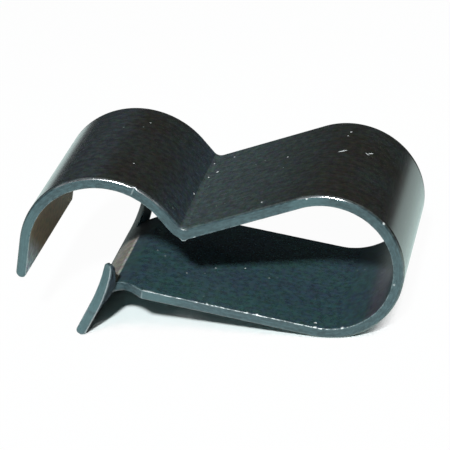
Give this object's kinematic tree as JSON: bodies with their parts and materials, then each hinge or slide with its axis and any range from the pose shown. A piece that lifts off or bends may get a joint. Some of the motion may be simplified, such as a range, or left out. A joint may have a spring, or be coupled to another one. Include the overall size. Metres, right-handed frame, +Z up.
{
  "type": "wire clip",
  "caption": "Folded spring-steel strip clip: an open hook and vee over a leg with a bent lip and corner barbs, closed by a round loop, for holding wires on a panel edge.",
  "frame": {"origin": "middle of the clip's footprint box, on the ground under its lip and loop", "axes": "+X along the clip towards the round loop, +Y across the strip, +Z up, with the hook and upper arm on top"},
  "size_m": [0.0276, 0.0126, 0.0122],
  "materials": {
    "spring_steel": "dark oiled oxide, satin, with paler sheared edges"
  },
  "bodies": {
    "root": {"spring_clip": "spring_steel"}
  },
  "joints": []
}
